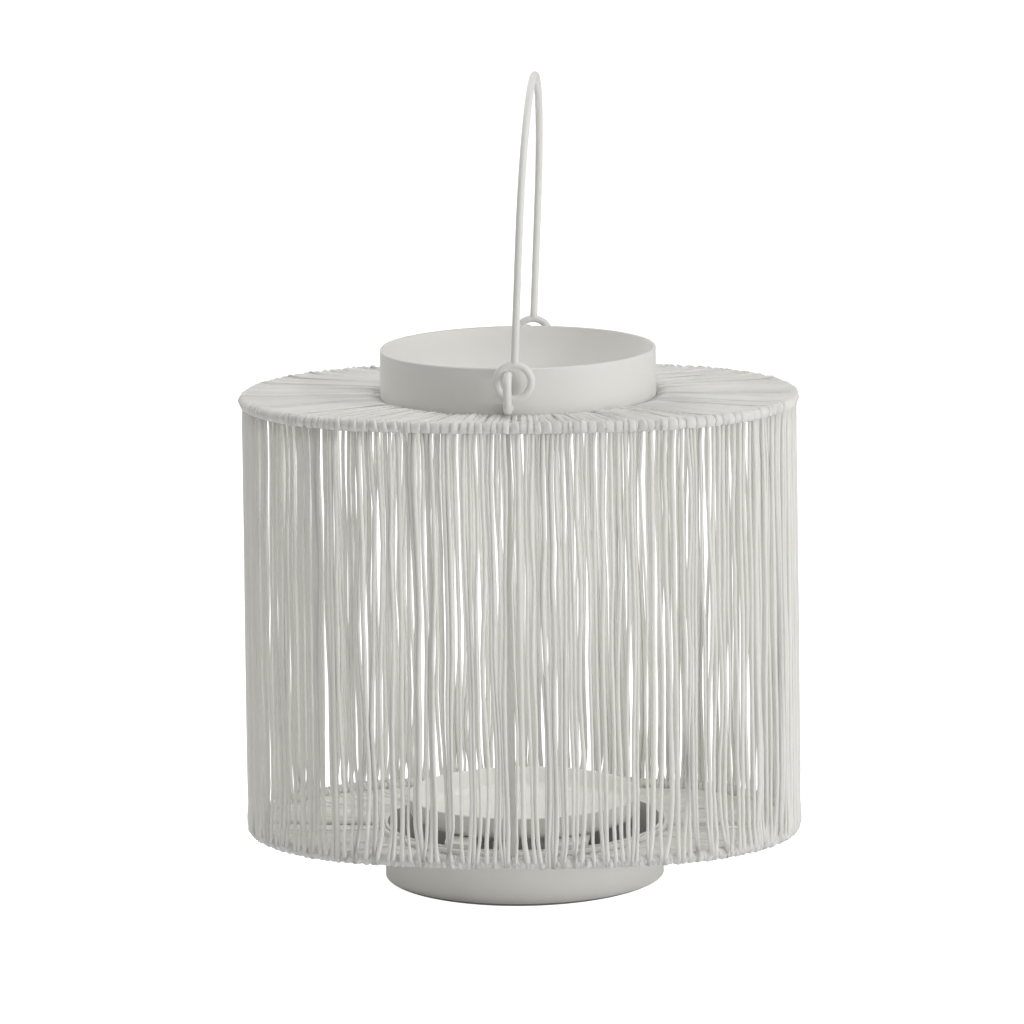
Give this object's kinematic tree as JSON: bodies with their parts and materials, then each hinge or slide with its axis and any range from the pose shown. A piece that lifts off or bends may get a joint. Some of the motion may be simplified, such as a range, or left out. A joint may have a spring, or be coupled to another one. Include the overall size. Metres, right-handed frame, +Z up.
{
  "type": "hanging lantern",
  "caption": "Oval open lantern: a wire drum strung with painted cord, sheet-metal collar and foot, swinging wire bail and a candle dish inside.",
  "frame": {"origin": "centre of the foot's bottom edge, on the surface that the lantern stands on", "axes": "+Z up along the drum's axis, -Y to the front ear, +X to the right seen from the front; the bail swings about Y"},
  "size_m": [0.3, 0.202, 0.4332],
  "materials": {
    "painted_metal": "matt off-white powder coat",
    "painted_cord": "twisted cord painted matt off-white"
  },
  "bodies": {
    "lantern": {"top_collar": "painted_metal", "collar_hoop": "painted_metal", "front_ear": "painted_metal", "rear_ear": "painted_metal", "top_ring": "painted_metal", "bottom_ring": "painted_metal", "right_upright": "painted_metal", "rear_upright": "painted_metal", "left_upright": "painted_metal", "front_upright": "painted_metal", "top_right_spoke": "painted_metal", "top_rear_spoke": "painted_metal", "top_left_spoke": "painted_metal", "top_front_spoke": "painted_metal", "base_right_spoke": "painted_metal", "base_rear_spoke": "painted_metal", "base_left_spoke": "painted_metal", "base_front_spoke": "painted_metal", "foot_ring": "painted_metal", "base_hoop": "painted_metal", "left_dish_bar": "painted_metal", "right_dish_bar": "painted_metal", "candle_dish": "painted_metal", "side_winding": "painted_cord", "top_winding": "painted_cord", "bottom_winding": "painted_cord"},
    "handle": {"bail_handle": "painted_metal"}
  },
  "joints": [
    {"name": "bail_swing", "type": "hinge", "parent": "lantern", "child": "handle", "pos_m": [0.00304, 0, 0.28037], "axis": [0, 1, 0], "range_deg": [-97.5, 91.9]}
  ]
}
